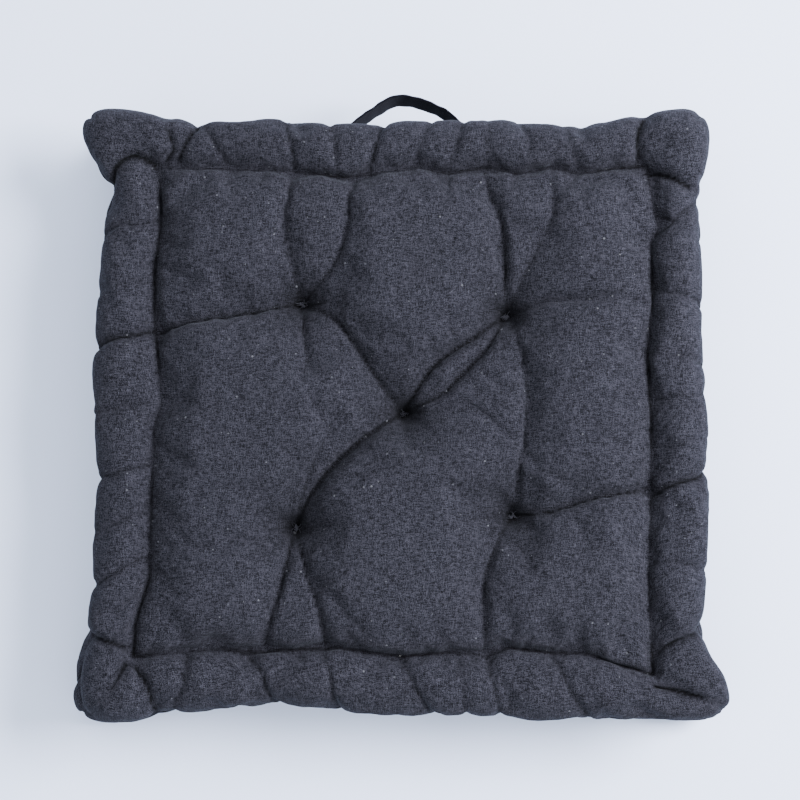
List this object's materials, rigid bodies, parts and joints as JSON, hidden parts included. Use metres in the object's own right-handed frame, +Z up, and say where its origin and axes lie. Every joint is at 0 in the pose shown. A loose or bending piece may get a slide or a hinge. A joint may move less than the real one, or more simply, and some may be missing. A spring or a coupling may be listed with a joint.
{
  "type": "floor cushion",
  "caption": "Square tufted floor cushion with stuffed rolled edges at top and bottom, thread-tied tufts and a fabric carrying strap at the back.",
  "frame": {"origin": "on the floor, at the centre of the whole part's footprint, carrying strap included", "axes": "+Z up through the thickness, +Y towards the side with the carrying strap, +X to the right"},
  "size_m": [0.5226, 0.5363, 0.1],
  "materials": {
    "cover_fabric": "charcoal heather plain weave cotton, matt",
    "strap_fabric": "navy black folded cotton, matt",
    "sewing_thread": "dark twisted thread",
    "fibre": "loose white polyester fibre"
  },
  "bodies": {
    "cushion": {"top_panel": "cover_fabric", "bottom_panel": "cover_fabric", "side_band_front": "cover_fabric", "side_band_right": "cover_fabric", "side_band_back": "cover_fabric", "side_band_left": "cover_fabric", "core_filling": "fibre", "top_roll_filling": "fibre", "bottom_roll_filling": "fibre", "top_roll_stitching": "sewing_thread", "bottom_roll_stitching": "sewing_thread", "top_rim_seam": "sewing_thread", "bottom_rim_seam": "sewing_thread", "corner_seam_front_left": "sewing_thread", "corner_seam_front_right": "sewing_thread", "corner_seam_back_left": "sewing_thread", "corner_seam_back_right": "sewing_thread", "tie_centre": "sewing_thread", "tie_front_left": "sewing_thread", "tie_front_right": "sewing_thread", "tie_back_left": "sewing_thread", "tie_back_right": "sewing_thread", "handle_end_left": "strap_fabric", "handle_end_right": "strap_fabric", "handle_stitching_left": "sewing_thread", "handle_stitching_right": "sewing_thread"},
    "handle": {"handle_loop": "strap_fabric"}
  },
  "joints": [
    {"name": "handle_swing", "type": "hinge", "parent": "cushion", "child": "handle", "pos_m": [0, 0.24624, 0.05], "axis": [1, 0, 0], "range_deg": [-90, 75]}
  ]
}
